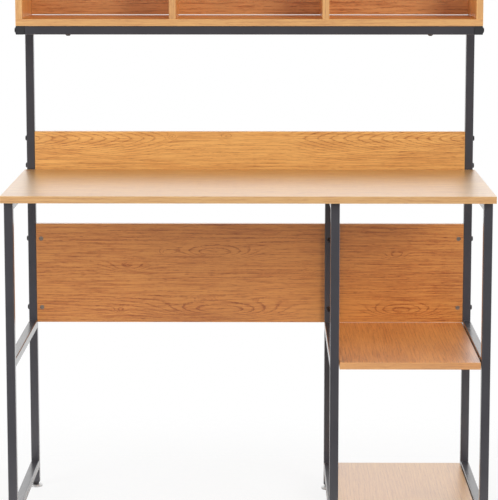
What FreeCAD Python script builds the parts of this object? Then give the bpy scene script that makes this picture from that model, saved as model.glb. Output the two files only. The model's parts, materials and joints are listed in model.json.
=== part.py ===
"""Student desk with a hutch: a frame of square steel tube that carries oak-laminate boards.

Millimetres. +Z is up and the front faces -Y. The origin lies on the floor, under the middle
of the desk's outline.
"""
import FreeCAD, Part
import os
import Sketcher

SIZES = {
    # boards
    "desktop_width": 1040.0,
    "desktop_depth": 480.0,
    "desktop_height": 755.0,
    "desktop_overhang": 25.0,
    "board_thickness": 15.0,
    "board_easing": 0.5,
    "modesty_bottom": 396.0,
    "modesty_height": 232.0,
    "upstand_height": 95.0,
    "upstand_rise": 88.0,
    "shelf_clearance": 1.5,
    # steel frame
    "frame_setback": 5.0,
    "tube_width": 19.0,
    "tube_wall": 1.2,
    "tube_corner": 2.0,
    "shelf_bay_width": 303.0,
    "mid_rail_top": 400.0,
    "bottom_rail_top": 64.0,
    # hutch
    "hutch_underside": 1095.0,
    "hutch_depth": 206.0,
    "cubby_height": 225.0,
    "back_gap": 1.5,
    # levelling feet
    "pad_diameter": 30.0,
    "pad_height": 5.0,
    "pad_crown": 1.5,
    "collar_width": 14.0,
    "collar_height": 7.0,
    "stud_diameter": 8.0,
    "stud_length": 30.0,
    "stud_easing": 1.0,
    "running_clearance": 0.05,
    # plugs in the ends of tubes
    "plug_flange": 1.0,
    "plug_length": 20.0,
    "plug_clearance": 0.1,
    "cap_flange": 1.5,
    "cap_length": 5.0,
    # bolts and barrel nuts; the share of a head's height that its eased rim takes
    "rim_share": 0.85,
    "bolt_diameter": 6.0,
    "bolt_length": 35.0,
    "bolt_head_diameter": 12.0,
    "bolt_head_height": 3.2,
    "socket_width": 4.0,
    "socket_depth": 1.8,
    "hole_clearance": 0.5,
    "nut_diameter": 10.0,
    "nut_length": 12.0,
    "nut_recess": 1.0,
    "nut_inset": 11.5,
    "nut_slot_width": 2.0,
    "nut_slot_depth": 1.5,
    "modesty_bolt_inset": 35.0,
    "upstand_bolt_inset": 16.0,
    # screws
    "screw_diameter": 5.0,
    "screw_grip": 10.0,
    "screw_head_diameter": 12.0,
    "screw_head_height": 3.0,
    "pilot_clearance": 0.1,
    "desk_screw_inset": 60.0,
    "hutch_screw_spacing": 800.0,
    # tabs under the shelves
    "tab_thickness": 2.0,
    "tab_width": 24.0,
    "tab_corner": 2.0,
    "tab_reach": 18.0,
    "tab_weld": 12.0,
    "tab_inset": 70.0,
    # dowels in the hutch
    "dowel_diameter": 8.0,
    "dowel_length": 30.0,
    "dowel_seat": 10.0,
    "dowel_inset": 40.0,
    "dowel_clearance": 0.1,
    "dowel_easing": 1.0,
}

# Places that several pieces share, as formulas of the sizes
DESK_FRONT = "(-(Sizes.desktop_depth + Sizes.tube_width / 2 + Sizes.pad_diameter / 2) / 2)"
DESK_UNDERSIDE = "(Sizes.desktop_height - Sizes.board_thickness)"
UPRIGHT_FRONT = f"({DESK_FRONT} + Sizes.desktop_depth)"
UPRIGHT_Y = f"({UPRIGHT_FRONT} + Sizes.tube_width / 2)"
UPRIGHT_REAR = f"({UPRIGHT_FRONT} + Sizes.tube_width)"
PANEL_MIDDLE_Y = f"({UPRIGHT_FRONT} + Sizes.board_thickness / 2)"
FRAME_WIDTH = "(Sizes.desktop_width - 2 * Sizes.frame_setback)"
LEG_FRONT = f"({DESK_FRONT} + Sizes.desktop_overhang)"
FRONT_LEG_Y = f"({LEG_FRONT} + Sizes.tube_width / 2)"
INNER_REAR_Y = f"({UPRIGHT_FRONT} - Sizes.tube_width / 2)"
SIDE_RAIL_LENGTH = "(Sizes.desktop_depth - Sizes.desktop_overhang - Sizes.tube_width)"
INNER_RAIL_LENGTH = f"({SIDE_RAIL_LENGTH} - Sizes.tube_width)"
LEG_END = "(Sizes.pad_height + Sizes.collar_height + Sizes.plug_flange)"
SIDE_X = f"(({FRAME_WIDTH} - Sizes.tube_width) / 2)"
BAY_RIGHT = f"({FRAME_WIDTH} / 2 - Sizes.tube_width)"
BAY_LEFT = f"({BAY_RIGHT} - Sizes.shelf_bay_width)"
INNER_X = f"({BAY_LEFT} - Sizes.tube_width / 2)"
BETWEEN_SIDES = f"({FRAME_WIDTH} - 2 * Sizes.tube_width)"
TUBE_BORE = "(Sizes.tube_width - 2 * Sizes.tube_wall)"
TOP_RAIL_Z = f"({DESK_UNDERSIDE} - Sizes.tube_width / 2)"
MID_RAIL_Z = "(Sizes.mid_rail_top - Sizes.tube_width / 2)"
BOTTOM_RAIL_Z = "(Sizes.bottom_rail_top - Sizes.tube_width / 2)"
HUTCH_RAIL_Z = "(Sizes.hutch_underside - Sizes.tube_width / 2)"
HUTCH_FRONT = f"({UPRIGHT_REAR} - Sizes.hutch_depth)"
ARM_LENGTH = "(Sizes.hutch_depth - Sizes.tube_width - Sizes.cap_flange)"
FRONT_RAIL_Y = f"({HUTCH_FRONT} + Sizes.cap_flange + Sizes.tube_width / 2)"
CROSS_RAIL_LENGTH = f"({BETWEEN_SIDES} - 2 * Sizes.plug_flange)"
CUBBY_FLOOR = "(Sizes.hutch_underside + Sizes.board_thickness)"
CUBBY_CEILING = f"({CUBBY_FLOOR} + Sizes.cubby_height)"
CUBBY_MIDDLE_Z = f"({CUBBY_FLOOR} + Sizes.cubby_height / 2)"
CUBBY_WIDTH = f"(({FRAME_WIDTH} - 4 * Sizes.board_thickness) / 3)"
HUTCH_Y = f"({HUTCH_FRONT} + Sizes.hutch_depth / 2)"
BACK_FRONT = f"({UPRIGHT_REAR} - Sizes.board_thickness)"
SIDE_PANEL_X = f"(({FRAME_WIDTH} - Sizes.board_thickness) / 2)"
DIVIDER_DEPTH = "(Sizes.hutch_depth - Sizes.board_thickness)"
DIVIDER_X = f"(({CUBBY_WIDTH} + Sizes.board_thickness) / 2)"
MODESTY_Z = "(Sizes.modesty_bottom + Sizes.modesty_height / 2)"
MODESTY_BOLT_RISE = "(Sizes.modesty_height / 2 - Sizes.modesty_bolt_inset)"
UPSTAND_Z = "(Sizes.desktop_height + Sizes.upstand_rise - Sizes.upstand_height / 2)"
UPSTAND_BOLT_RISE = "(Sizes.upstand_height / 2 - Sizes.upstand_bolt_inset)"
BOLT_HOLE = "(Sizes.bolt_diameter + Sizes.hole_clearance)"
BOLT_THREAD = "(Sizes.bolt_diameter + 2 * Sizes.running_clearance)"
PANEL_BORE_DEPTH = "(Sizes.bolt_length - Sizes.tube_width + Sizes.hole_clearance)"
NUT_BORE = "(Sizes.nut_diameter + Sizes.pilot_clearance)"
NUT_BORE_DEPTH = "(Sizes.nut_recess + Sizes.nut_length)"
NUT_X = f"({BETWEEN_SIDES} / 2 - Sizes.nut_inset)"
SCREW_HOLE = "(Sizes.screw_diameter + Sizes.hole_clearance)"
SCREW_PILOT = "(Sizes.screw_diameter + Sizes.pilot_clearance)"
PILOT_DEPTH = "(Sizes.screw_grip + Sizes.pilot_clearance)"
DOWEL_HOLE = "(Sizes.dowel_diameter + Sizes.dowel_clearance)"
DOWEL_SOCKET = "(Sizes.dowel_length - Sizes.dowel_seat + Sizes.dowel_clearance)"
DOWEL_RISE = "(Sizes.cubby_height / 2 - Sizes.dowel_inset)"
DOWEL_SPREAD = f"({DIVIDER_DEPTH} / 2 - Sizes.dowel_inset)"
DOWEL_Y = f"({HUTCH_FRONT} + {DIVIDER_DEPTH} / 2)"
DESK_SCREW_SPREAD = f"({INNER_RAIL_LENGTH} / 2 - Sizes.desk_screw_inset)"
INNER_RAIL_Y = f"({LEG_FRONT} + Sizes.tube_width + {INNER_RAIL_LENGTH} / 2)"
TAB_SPREAD = f"({INNER_RAIL_LENGTH} / 2 - Sizes.tab_inset)"
TAB_HOLE_REACH = "(Sizes.tab_reach / 2)"
SHELF_WIDTH = "(Sizes.shelf_bay_width - 2 * Sizes.shelf_clearance)"
SHELF_X = f"({BAY_RIGHT} - Sizes.shelf_bay_width / 2)"
SHELF_DEPTH = "(Sizes.desktop_depth - Sizes.desktop_overhang)"
SHELF_Y = f"({LEG_FRONT} + {SHELF_DEPTH} / 2)"

SIDES = {"left": -1, "right": 1}
SHELF_RAILS = {"middle": MID_RAIL_Z, "bottom": BOTTOM_RAIL_Z}
LEGS = {
    "left_front": (f"-{SIDE_X}", FRONT_LEG_Y),
    "left_rear": (f"-{SIDE_X}", UPRIGHT_Y),
    "inner_front": (INNER_X, FRONT_LEG_Y),
    "inner_rear": (INNER_X, INNER_REAR_Y),
    "right_front": (SIDE_X, FRONT_LEG_Y),
    "right_rear": (SIDE_X, UPRIGHT_Y),
}

X_AXIS = FreeCAD.Vector(1, 0, 0)
Y_AXIS = FreeCAD.Vector(0, 1, 0)
Z_AXIS = FreeCAD.Vector(0, 0, 1)
UPRIGHT = FreeCAD.Rotation()
HEAD_DOWN = FreeCAD.Rotation(X_AXIS, 180)
HEAD_FRONT = FreeCAD.Rotation(X_AXIS, 90)
HEAD_REAR = FreeCAD.Rotation(X_AXIS, -90)
HEAD_OUT = {-1: FreeCAD.Rotation(Y_AXIS, -90), 1: FreeCAD.Rotation(Y_AXIS, 90)}
TURNED = FreeCAD.Rotation(Z_AXIS, 180)
PLANE_NORMAL = {"YZ_Plane": X_AXIS, "XZ_Plane": Y_AXIS, "XY_Plane": Z_AXIS}
NEAR = 0.01


# ---- sheet, bodies, sketches and features


def make_sheet(doc):
    """Writes each size in its own named cell."""
    sheet = doc.addObject("Spreadsheet::Sheet", "Sizes")
    for row, (name, value) in enumerate(SIZES.items(), start=1):
        sheet.set(f"A{row}", name)
        sheet.set(f"B{row}", str(value))
        sheet.setAlias(f"B{row}", name)
    doc.recompute()


def place(piece, at):
    """Ties a piece's place to three formulas."""
    for axis, formula in zip("xyz", at):
        piece.setExpression(f"Placement.Base.{axis}", formula)


def new_body(doc, label, at=("0", "0", "0")):
    body = doc.addObject("PartDesign::Body", label)
    body.Label = label
    place(body, at)
    return body


def new_sketch(body, plane, name):
    """A sketch on one of the body's own origin planes."""
    support = next(item for item in body.Origin.OriginFeatures if item.Role == plane)
    sketch = body.newObject("Sketcher::SketchObject", name)
    sketch.AttachmentSupport = [(support, "")]
    sketch.MapMode = "FlatFace"
    return sketch


def formula_value(owner, formula):
    return float(owner.evalExpression(formula))


def tie(sketch, kind, geometry, formula):
    """Adds a dimension whose value follows a formula."""
    value = formula_value(sketch, formula)
    index = sketch.addConstraint(Sketcher.Constraint(kind, *geometry, value))
    sketch.setExpression(f"Constraints[{index}]", formula)


def tie_point(sketch, geometry, point, x, y):
    """Holds a point at the sketch's axes or at formulas from its origin."""
    for kind, axis, formula in (("DistanceX", -2, x), ("DistanceY", -1, y)):
        if formula == "0":
            sketch.addConstraint(Sketcher.Constraint("PointOnObject", geometry, point, axis))
        else:
            tie(sketch, kind, (-1, 1, geometry, point), formula)


def draw_lines(sketch, points):
    """Draws a closed outline of straight lines and joins their ends."""
    first = sketch.GeometryCount
    for start, end in zip(points, points[1:] + points[:1]):
        line = Part.LineSegment(FreeCAD.Vector(*start, 0), FreeCAD.Vector(*end, 0))
        sketch.addGeometry(line)
    for number in range(len(points)):
        after = first + (number + 1) % len(points)
        sketch.addConstraint(Sketcher.Constraint("Coincident", first + number, 2, after, 1))
    return first


def rectangle(sketch, width, height):
    """A rectangle centred on the sketch's origin."""
    across = formula_value(sketch, width) / 2
    up = formula_value(sketch, height) / 2
    first = draw_lines(sketch, [(-across, -up), (across, -up), (across, up), (-across, up)])
    for side, kind in enumerate(("Horizontal", "Vertical", "Horizontal", "Vertical")):
        sketch.addConstraint(Sketcher.Constraint(kind, first + side))
    sketch.addConstraint(Sketcher.Constraint("Symmetric", first, 1, first + 1, 2, -1, 1))
    tie(sketch, "DistanceX", (first, 1, first, 2), width)
    tie(sketch, "DistanceY", (first + 1, 1, first + 1, 2), height)


def outline(sketch, corners):
    """A closed outline whose corners each follow two formulas."""
    points = [tuple(formula_value(sketch, value) for value in corner) for corner in corners]
    first = draw_lines(sketch, points)
    for number, (x, y) in enumerate(corners):
        tie_point(sketch, first + number, 1, x, y)


def circle(sketch, x, y, diameter):
    centre = FreeCAD.Vector(formula_value(sketch, x), formula_value(sketch, y), 0)
    radius = formula_value(sketch, diameter) / 2
    index = sketch.addGeometry(Part.Circle(centre, Z_AXIS, radius))
    tie_point(sketch, index, 3, x, y)
    tie(sketch, "Diameter", (index,), diameter)


def pad(body, sketch, name, length, side="One side", reverse=False):
    feature = body.newObject("PartDesign::Pad", name)
    feature.Profile = sketch
    feature.SideType = side
    feature.Reversed = reverse
    feature.setExpression("Length", length)
    return feature


def cut_through(body, sketch, name):
    feature = body.newObject("PartDesign::Pocket", name)
    feature.Profile = sketch
    feature.Type = "ThroughAll"
    feature.SideType = "Symmetric"
    return feature


def cut_blind(body, sketch, name, depth, along_normal):
    """Cuts to a depth on the chosen side of the sketch."""
    feature = body.newObject("PartDesign::Pocket", name)
    feature.Profile = sketch
    feature.Reversed = along_normal
    feature.setExpression("Length", depth)
    return feature


def revolve(body, sketch, name):
    """Turns a profile about its own vertical axis."""
    feature = body.newObject("PartDesign::Revolution", name)
    feature.Profile = sketch
    feature.ReferenceAxis = (sketch, ["V_Axis"])
    feature.Angle = 360
    return feature


def ease(body, base, kind, size, edges):
    """Rounds or chamfers the named edges of a feature."""
    feature = body.newObject(f"PartDesign::{kind}", "Easing")
    feature.Base = (base, edges)
    feature.setExpression("Radius" if kind == "Fillet" else "Size", size)
    return feature


def edges_where(feature, wanted):
    """Names of the edges for which wanted(edge) is true."""
    feature.Document.recompute()
    edges = enumerate(feature.Shape.Edges, start=1)
    return [f"Edge{number}" for number, edge in edges if wanted(edge)]


def drill(body, plane, name, diameter, centres, depth=None, along_normal=True, offset=None):
    """Round holes, right through or to a depth from a plane or from a parallel one."""
    sketch = new_sketch(body, plane, name + "Centres")
    if offset:
        sketch.setExpression("AttachmentOffset.Base.z", offset)
    for x, y in centres:
        circle(sketch, x, y, diameter)
    if depth is None:
        return cut_through(body, sketch, name)
    return cut_blind(body, sketch, name, depth, along_normal)


def runs_along(edge, direction):
    """Whether an edge is parallel to a direction."""
    return edge.tangentAt(0).cross(direction).Length < NEAR


def both(*formulas):
    """Each formula with a plus and a minus sign in front."""
    return [sign + formula for formula in formulas for sign in ("", "-")]


# ---- steel tubes


def square_tube(doc, label, plane, length, at, centred=False):
    """A straight square tube along the normal of a plane, open at both ends."""
    body = new_body(doc, label, at)
    side = "Symmetric" if centred else "One side"
    section = new_sketch(body, plane, "Section")
    rectangle(section, "Sizes.tube_width", "Sizes.tube_width")
    outer = pad(body, section, "Outer", length, side)
    corners = edges_where(outer, lambda edge: runs_along(edge, PLANE_NORMAL[plane]))
    ease(body, outer, "Fillet", "Sizes.tube_corner", corners)
    bore = new_sketch(body, plane, "Bore")
    rectangle(bore, TUBE_BORE, TUBE_BORE)
    cut_through(body, bore, "Inside")
    return body


def upright_tube(doc, label, x, y, top):
    """A vertical tube from the foot's insert up to a height."""
    return square_tube(doc, label, "XY_Plane", f"{top} - {LEG_END}", (x, y, LEG_END))


def rear_to_front_rail(doc, label, x, rear, z, length):
    return square_tube(doc, label, "XZ_Plane", length, (x, rear, z))


def desk_rail(doc, label, x, rear, length):
    """A rail under the desktop with upright holes for the desktop's screws."""
    body = rear_to_front_rail(doc, label, x, rear, TOP_RAIL_Z, length)
    middle = f"{INNER_RAIL_Y} - {rear}"
    centres = [("0", f"{middle} + {spread}") for spread in both(DESK_SCREW_SPREAD)]
    drill(body, "XY_Plane", "ScrewHoles", SCREW_HOLE, centres)
    return body


def side_frame(doc, side, sign):
    """The leg, upright, rails and hutch arm that are welded into one side of the desk."""
    x = f"{sign} * {SIDE_X}"
    upright_tube(doc, f"{side}_front_leg", x, FRONT_LEG_Y, DESK_UNDERSIDE)
    upright = upright_tube(doc, f"{side}_rear_upright", x, UPRIGHT_Y, "Sizes.hutch_underside")
    holes = [(f"{y} - {UPRIGHT_Y}", f"{z} - {LEG_END}") for y, z in upright_bolts()]
    drill(upright, "YZ_Plane", "BoltHoles", BOLT_HOLE, holes)
    desk_rail(doc, f"{side}_top_rail", x, UPRIGHT_FRONT, SIDE_RAIL_LENGTH)
    for level, z in SHELF_RAILS.items():
        label = f"{side}_{level}_rail"
        rear_to_front_rail(doc, label, x, UPRIGHT_FRONT, z, SIDE_RAIL_LENGTH)
    at = (x, UPRIGHT_FRONT, HUTCH_RAIL_Z)
    arm = square_tube(doc, f"{side}_hutch_arm", "XZ_Plane", ARM_LENGTH, at)
    hole = f"{FRONT_RAIL_Y} - {UPRIGHT_FRONT}"
    drill(arm, "YZ_Plane", "BoltHole", BOLT_HOLE, [(hole, "0")])


def upright_bolts():
    """Y and Z of the bolts through each upright: into the two panels and the rear rail."""
    heights = [f"{MODESTY_Z} + {rise}" for rise in both(MODESTY_BOLT_RISE)]
    heights += [f"{UPSTAND_Z} + {rise}" for rise in both(UPSTAND_BOLT_RISE)]
    return [(PANEL_MIDDLE_Y, height) for height in heights] + [(UPRIGHT_Y, HUTCH_RAIL_Z)]


def inner_frame(doc):
    """The welded frame between the knee space and the shelves."""
    upright_tube(doc, "inner_front_leg", INNER_X, FRONT_LEG_Y, DESK_UNDERSIDE)
    rear = upright_tube(doc, "inner_rear_leg", INNER_X, INNER_REAR_Y, DESK_UNDERSIDE)
    rises = [f"{MODESTY_Z} + {rise} - {LEG_END}" for rise in both(MODESTY_BOLT_RISE)]
    drill(rear, "XZ_Plane", "ScrewHoles", SCREW_HOLE, [("0", rise) for rise in rises])
    end = f"({UPRIGHT_FRONT} - Sizes.tube_width)"
    desk_rail(doc, "inner_top_rail", INNER_X, end, INNER_RAIL_LENGTH)
    for level, z in SHELF_RAILS.items():
        rear_to_front_rail(doc, f"inner_{level}_rail", INNER_X, end, z, INNER_RAIL_LENGTH)


def cross_rails(doc):
    """The rails under the hutch, between the arms and between the uprights."""
    holes = [(x, "0") for x in both("Sizes.hutch_screw_spacing / 2")]
    for label, y in (("hutch_front_rail", FRONT_RAIL_Y), ("hutch_rear_rail", UPRIGHT_Y)):
        at = ("0", y, HUTCH_RAIL_Z)
        rail = square_tube(doc, label, "YZ_Plane", CROSS_RAIL_LENGTH, at, centred=True)
        drill(rail, "XY_Plane", "ScrewHoles", SCREW_HOLE, holes)


# ---- boards


def eased_board(doc, label, plane, width, height, at, reverse=False):
    """A board centred on a plane, with its thickness on one side and all its edges eased."""
    body = new_body(doc, label, at)
    face = new_sketch(body, plane, "Face")
    rectangle(face, width, height)
    board = pad(body, face, "Board", "Sizes.board_thickness", reverse=reverse)
    ease(body, board, "Chamfer", "Sizes.board_easing", edges_where(board, lambda edge: True))
    return body


def desktop(doc):
    """The work surface, with pilot holes in its underside over the three top rails."""
    middle = f"({DESK_FRONT} + Sizes.desktop_depth / 2)"
    at = ("0", middle, DESK_UNDERSIDE)
    width, depth = "Sizes.desktop_width", "Sizes.desktop_depth"
    body = eased_board(doc, "desktop", "XY_Plane", width, depth, at)
    rows = [f"{INNER_RAIL_Y} + {spread} - {middle}" for spread in both(DESK_SCREW_SPREAD)]
    centres = [(x, y) for x in (f"-{SIDE_X}", INNER_X, SIDE_X) for y in rows]
    drill(body, "XY_Plane", "Pilots", SCREW_PILOT, centres, PILOT_DEPTH)


def panel_between_uprights(doc, label, z, height, bolt_rise, nuts_in_front):
    """A panel clamped between the uprights by bolts that enter barrel nuts near its ends."""
    at = ("0", UPRIGHT_FRONT, z)
    body = eased_board(doc, label, "XZ_Plane", BETWEEN_SIDES, height, at, reverse=True)
    centres = [(x, rise) for x in both(NUT_X) for rise in both(bolt_rise)]
    face = "0" if nuts_in_front else "-Sizes.board_thickness"
    drill(
        body, "XZ_Plane", "NutBores", NUT_BORE, centres, NUT_BORE_DEPTH,
        along_normal=not nuts_in_front, offset=face,
    )
    drill_panel_ends(body, bolt_rise)
    return body


def drill_panel_ends(body, bolt_rise):
    """Blind bores along X from both ends, past the barrel nuts."""
    centres = [("Sizes.board_thickness / 2", rise) for rise in both(bolt_rise)]
    for sign, name in ((1, "RightBores"), (-1, "LeftBores")):
        end = f"{sign} * {BETWEEN_SIDES} / 2"
        drill(
            body, "YZ_Plane", name, BOLT_HOLE, centres, PANEL_BORE_DEPTH,
            along_normal=sign < 0, offset=end,
        )


def upright_panels(doc):
    """The upstand behind the desktop and the modesty panel under it."""
    panel_between_uprights(
        doc, "upstand", UPSTAND_Z, "Sizes.upstand_height", UPSTAND_BOLT_RISE, nuts_in_front=False
    )
    modesty = panel_between_uprights(
        doc, "modesty_panel", MODESTY_Z, "Sizes.modesty_height", MODESTY_BOLT_RISE, nuts_in_front=True
    )
    centres = [(INNER_X, rise) for rise in both(MODESTY_BOLT_RISE)]
    drill(modesty, "XZ_Plane", "Pilots", SCREW_PILOT, centres, PILOT_DEPTH, along_normal=False)


def shelves(doc):
    """Two shelves that lie between the rails, level with the rails' undersides."""
    reach = f"({SHELF_WIDTH} / 2 + Sizes.shelf_clearance - {TAB_HOLE_REACH})"
    rows = [f"{INNER_RAIL_Y} + {spread} - {SHELF_Y}" for spread in both(TAB_SPREAD)]
    centres = [(x, y) for x in both(reach) for y in rows]
    for level, z in SHELF_RAILS.items():
        at = (SHELF_X, SHELF_Y, f"{z} - Sizes.tube_width / 2")
        body = eased_board(doc, f"{level}_shelf", "XY_Plane", SHELF_WIDTH, SHELF_DEPTH, at)
        drill(body, "XY_Plane", "Pilots", SCREW_PILOT, centres, PILOT_DEPTH)


# ---- hutch


def dowel_rows():
    """Depths, from the middle of the hutch's boards, of the dowels in each joint."""
    return [f"{DOWEL_Y} + {spread} - {HUTCH_Y}" for spread in both(DOWEL_SPREAD)]


def upright_board_places():
    """X of the two sides and the two dividers."""
    return both(SIDE_PANEL_X, DIVIDER_X)


def hutch_base_and_top(doc):
    """Full-width boards with dowel holes that face each other."""
    depth = "Sizes.hutch_depth"
    centres = [(x, y) for x in upright_board_places() for y in dowel_rows()]
    at = ("0", HUTCH_Y, "Sizes.hutch_underside")
    base = eased_board(doc, "hutch_base", "XY_Plane", FRAME_WIDTH, depth, at)
    drill(
        base, "XY_Plane", "DowelHoles", DOWEL_HOLE, centres, "Sizes.dowel_seat",
        along_normal=False, offset="Sizes.board_thickness",
    )
    rails = [f"{y} - {HUTCH_Y}" for y in (FRONT_RAIL_Y, UPRIGHT_Y)]
    screws = [(x, y) for x in both("Sizes.hutch_screw_spacing / 2") for y in rails]
    drill(base, "XY_Plane", "Pilots", SCREW_PILOT, screws, PILOT_DEPTH)
    at = ("0", HUTCH_Y, CUBBY_CEILING)
    top = eased_board(doc, "hutch_top", "XY_Plane", FRAME_WIDTH, depth, at)
    drill(top, "XY_Plane", "DowelHoles", DOWEL_HOLE, centres, "Sizes.dowel_seat")


def upright_hutch_board(doc, label, centre_x, depth):
    """A side or a divider that stands on the base, with dowel sockets in both ends."""
    middle_y = f"({HUTCH_FRONT} + {depth} / 2)"
    at = (f"{centre_x} - Sizes.board_thickness / 2", middle_y, CUBBY_MIDDLE_Z)
    body = eased_board(doc, label, "YZ_Plane", depth, "Sizes.cubby_height", at)
    rows = [f"{DOWEL_Y} + {spread} - {middle_y}" for spread in both(DOWEL_SPREAD)]
    centres = [("Sizes.board_thickness / 2", row) for row in rows]
    for sign, name in ((1, "UpperSockets"), (-1, "LowerSockets")):
        end = f"{sign} * Sizes.cubby_height / 2"
        drill(
            body, "XY_Plane", name, DOWEL_HOLE, centres, DOWEL_SOCKET,
            along_normal=sign < 0, offset=end,
        )
    return body


def hutch_sides(doc):
    """The outer sides, drilled on their inner faces for the back panel's dowels."""
    row = f"{BACK_FRONT} + Sizes.board_thickness / 2 - {HUTCH_Y}"
    for side, sign in SIDES.items():
        x = f"{sign} * {SIDE_PANEL_X}"
        body = upright_hutch_board(doc, f"hutch_{side}_side", x, "Sizes.hutch_depth")
        centres = [(row, rise) for rise in both(DOWEL_RISE)]
        inner_face = "Sizes.board_thickness" if sign < 0 else "0"
        drill(
            body, "YZ_Plane", "BackDowelHoles", DOWEL_HOLE, centres, "Sizes.dowel_seat",
            along_normal=sign > 0, offset=inner_face,
        )


def hutch_dividers(doc):
    for side, sign in SIDES.items():
        upright_hutch_board(doc, f"hutch_{side}_divider", f"{sign} * {DIVIDER_X}", DIVIDER_DEPTH)


def hutch_back(doc):
    """The back panel between the sides, hung a little above the base."""
    width = f"({FRAME_WIDTH} - 2 * Sizes.board_thickness)"
    height = "(Sizes.cubby_height - Sizes.back_gap)"
    middle = f"({CUBBY_CEILING} - {height} / 2)"
    at = ("0", BACK_FRONT, middle)
    body = eased_board(doc, "hutch_back", "XZ_Plane", width, height, at, reverse=True)
    rows = [f"{CUBBY_MIDDLE_Z} + {rise} - {middle}" for rise in both(DOWEL_RISE)]
    centres = [("Sizes.board_thickness / 2", row) for row in rows]
    for sign, name in ((1, "RightSockets"), (-1, "LeftSockets")):
        drill(
            body, "YZ_Plane", name, DOWEL_HOLE, centres, DOWEL_SOCKET,
            along_normal=sign < 0, offset=f"{sign} * {width} / 2",
        )


# ---- levelling feet


def foot_pad(doc, label, x, y):
    """A round pressed-steel glide with a bevelled rim."""
    body = new_body(doc, label, (x, y, "0"))
    profile = new_sketch(body, "XZ_Plane", "Profile")
    radius, height = "Sizes.pad_diameter / 2", "Sizes.pad_height"
    outline(profile, [("0", "0"), (radius, "0"), (radius, height), ("0", height)])
    disc = revolve(body, profile, "Disc")
    top_rim = edges_where(disc, lambda edge: edge.BoundBox.ZMin > SIZES["pad_height"] / 2)
    ease(body, disc, "Chamfer", "Sizes.pad_crown", top_rim)


def hexagon(sketch, width):
    """A regular hexagon of a given width across its corners."""
    radius = f"{width} / 2"
    upper = [(f"{radius} * cos({turn} deg)", f"{radius} * sin({turn} deg)") for turn in (60, 120)]
    lower = [(f"{radius} * cos({turn} deg)", f"{radius} * sin({turn} deg)") for turn in (240, 300)]
    outline(sketch, [(radius, "0"), *upper, (f"-{radius}", "0"), *lower])


def foot_stud(doc, label, x, y):
    """The hexagonal collar that is turned by hand, with its stud up inside the leg."""
    body = new_body(doc, label, (x, y, "Sizes.pad_height"))
    collar_shape = new_sketch(body, "XY_Plane", "CollarShape")
    hexagon(collar_shape, "Sizes.collar_width")
    pad(body, collar_shape, "Collar", "Sizes.collar_height")
    stud_shape = new_sketch(body, "XY_Plane", "StudShape")
    circle(stud_shape, "0", "0", "Sizes.stud_diameter")
    stud = pad(body, stud_shape, "Stud", "Sizes.collar_height + Sizes.stud_length")
    end = SIZES["collar_height"] + SIZES["stud_length"] - NEAR
    tip = edges_where(stud, lambda edge: edge.BoundBox.ZMin > end)
    ease(body, stud, "Chamfer", "Sizes.stud_easing", tip)


def feet(doc):
    for corner, (x, y) in LEGS.items():
        foot_pad(doc, f"{corner}_foot_pad", x, y)
        foot_stud(doc, f"{corner}_foot_stud", x, y)


# ---- small pieces that repeat


def copies(doc, label, template, places):
    """One node of equal pieces: each place is three formulas and a rotation."""
    links = []
    for number, (x, y, z, rotation) in enumerate(places, start=1):
        link = doc.addObject("App::Link", f"{label}_{number}")
        link.LinkedObject = template
        link.Placement = FreeCAD.Placement(FreeCAD.Vector(), rotation)
        place(link, (x, y, z))
        links.append(link)
    group = doc.addObject("Part::Compound", label)
    group.Label = label
    group.Links = links


def tube_plug(doc, label, flange, length, hole=None):
    """A square plug for a tube's end: its flange is above the local origin, its body below."""
    body = new_body(doc, label)
    flange_shape = new_sketch(body, "XY_Plane", "FlangeShape")
    rectangle(flange_shape, "Sizes.tube_width", "Sizes.tube_width")
    plate = pad(body, flange_shape, "Flange", flange)
    corners = edges_where(plate, lambda edge: runs_along(edge, Z_AXIS))
    ease(body, plate, "Fillet", "Sizes.tube_corner", corners)
    plug_shape = new_sketch(body, "XY_Plane", "PlugShape")
    plug_width = f"{TUBE_BORE} - 2 * Sizes.plug_clearance"
    rectangle(plug_shape, plug_width, plug_width)
    pad(body, plug_shape, "Plug", length, reverse=True)
    if hole:
        drill(body, "XY_Plane", "Thread", hole, [("0", "0")])
    return body


def plugs(doc):
    """Inserts for the feet, plugs in the cross rails and caps on the hutch arms."""
    foot_hole = "Sizes.stud_diameter + 2 * Sizes.running_clearance"
    insert = tube_plug(doc, "InsertShape", "Sizes.plug_flange", "Sizes.plug_length", foot_hole)
    places = [(x, y, LEG_END, HEAD_DOWN) for x, y in LEGS.values()]
    copies(doc, "leg_inserts", insert, places)
    plug = tube_plug(doc, "PlugShape", "Sizes.plug_flange", "Sizes.plug_length", BOLT_THREAD)
    ends = [
        (f"{sign} * {CROSS_RAIL_LENGTH} / 2", y, HUTCH_RAIL_Z, HEAD_OUT[sign])
        for sign in SIDES.values()
        for y in (FRONT_RAIL_Y, UPRIGHT_Y)
    ]
    copies(doc, "rail_end_plugs", plug, ends)
    cap = tube_plug(doc, "CapShape", "Sizes.cap_flange", "Sizes.cap_length")
    front = f"{HUTCH_FRONT} + Sizes.cap_flange"
    arms = [(f"{sign} * {SIDE_X}", front, HUTCH_RAIL_Z, HEAD_FRONT) for sign in SIDES.values()]
    copies(doc, "arm_end_caps", cap, arms)


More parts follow.
